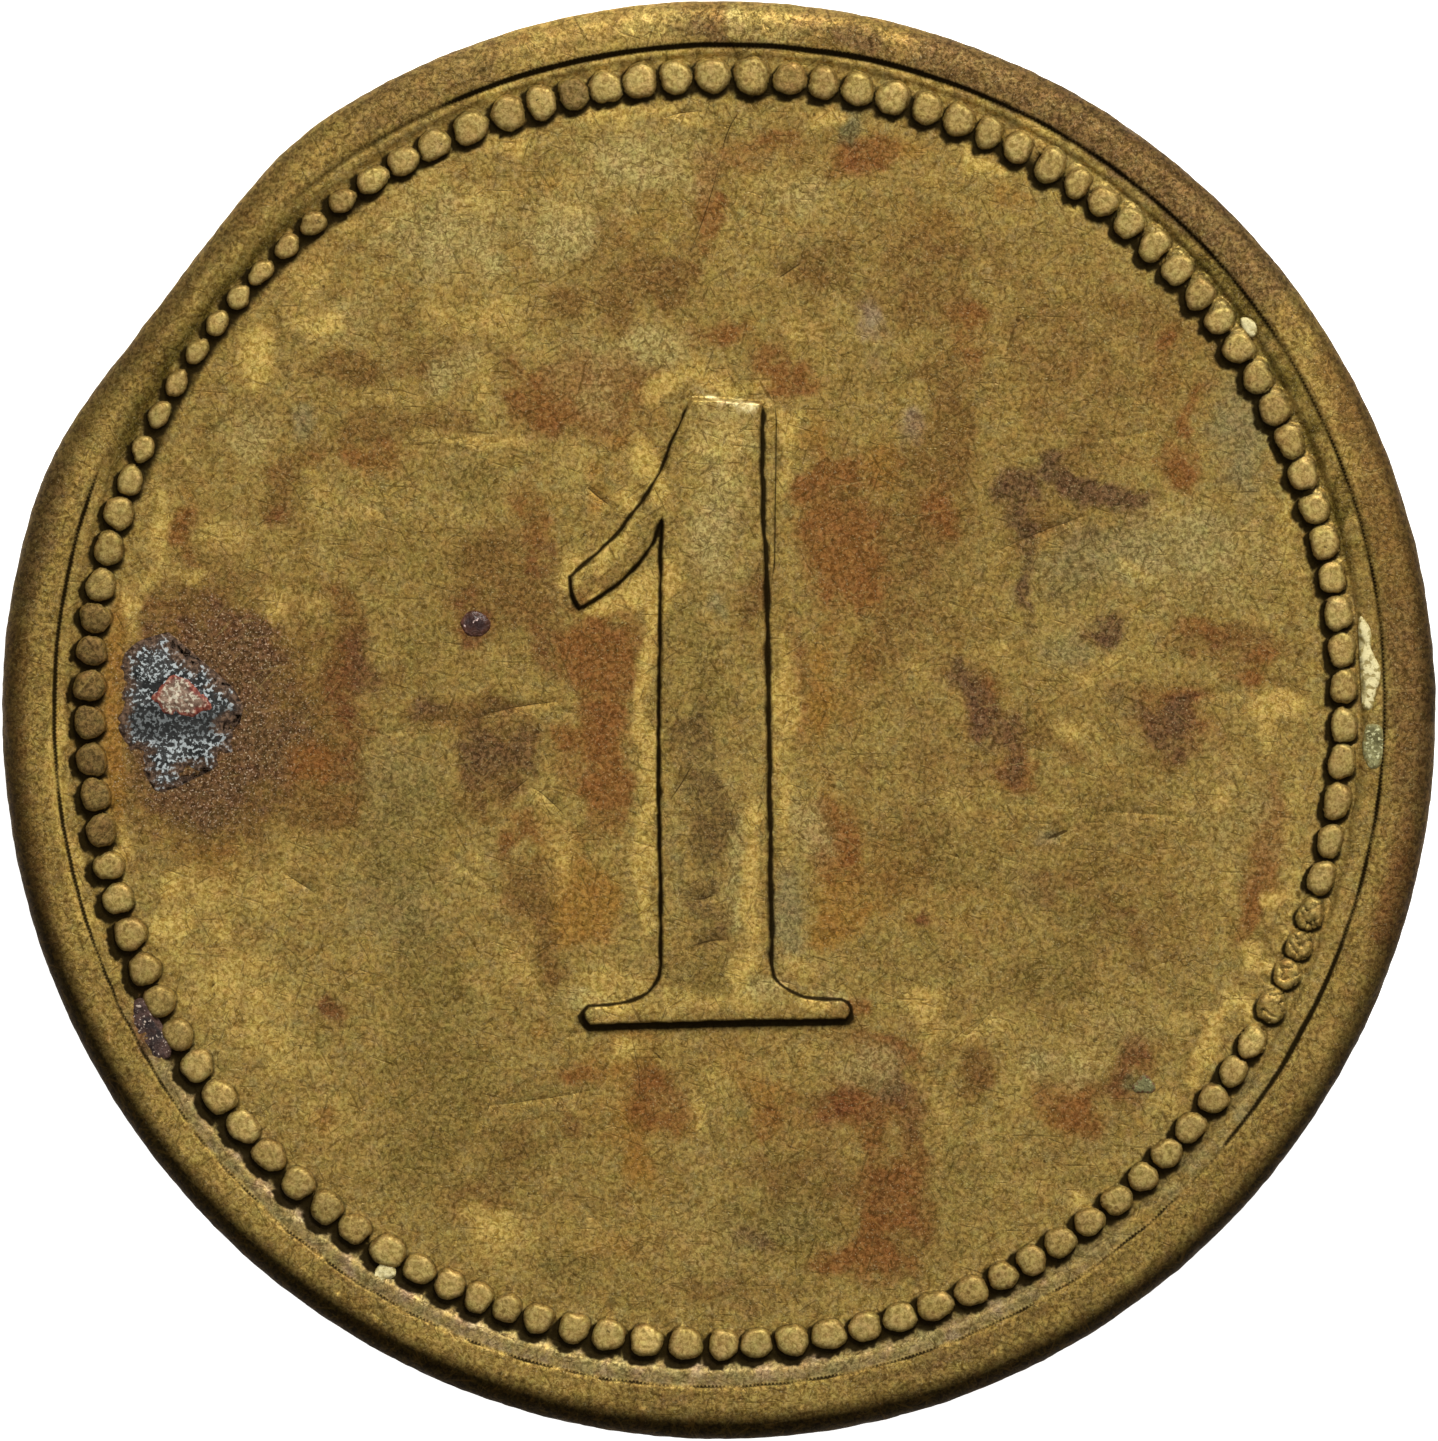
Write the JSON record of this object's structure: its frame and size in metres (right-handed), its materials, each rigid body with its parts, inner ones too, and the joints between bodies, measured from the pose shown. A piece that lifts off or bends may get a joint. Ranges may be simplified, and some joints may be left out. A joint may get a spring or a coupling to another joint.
{
  "type": "transit token",
  "caption": "Small round struck brass token with a raised rim, a border of pearls and a raised numeral on both faces, worn and knocked, with mineral deposits on the upper face.",
  "frame": {"origin": "centre of the round edge, on the plane of the lower rim that the token rests on", "axes": "+Z through the thickness, out of the upper face; +Y up the numeral of the upper face; +X to its right"},
  "size_m": [0.024, 0.024, 0.0014],
  "materials": {
    "flan_brass": "worn and tarnished, olive-brown patina with bright high spots",
    "grey_crust": null,
    "red_oxide": null,
    "violet_oxide": null,
    "violet_crust": null,
    "green_corrosion": null,
    "pale_green_deposit": null,
    "cream_residue": null
  },
  "bodies": {
    "root": {"struck_flan": "flan_brass", "grey_mineral_crust": "grey_crust", "red_oxide_nodule": "red_oxide", "violet_pimple": "violet_oxide", "violet_channel_crust": "violet_crust", "green_speck": "green_corrosion", "green_channel_deposit": "pale_green_deposit", "cream_residue_upper": "cream_residue", "cream_residue_side": "cream_residue", "cream_crumb": "cream_residue"}
  },
  "joints": []
}
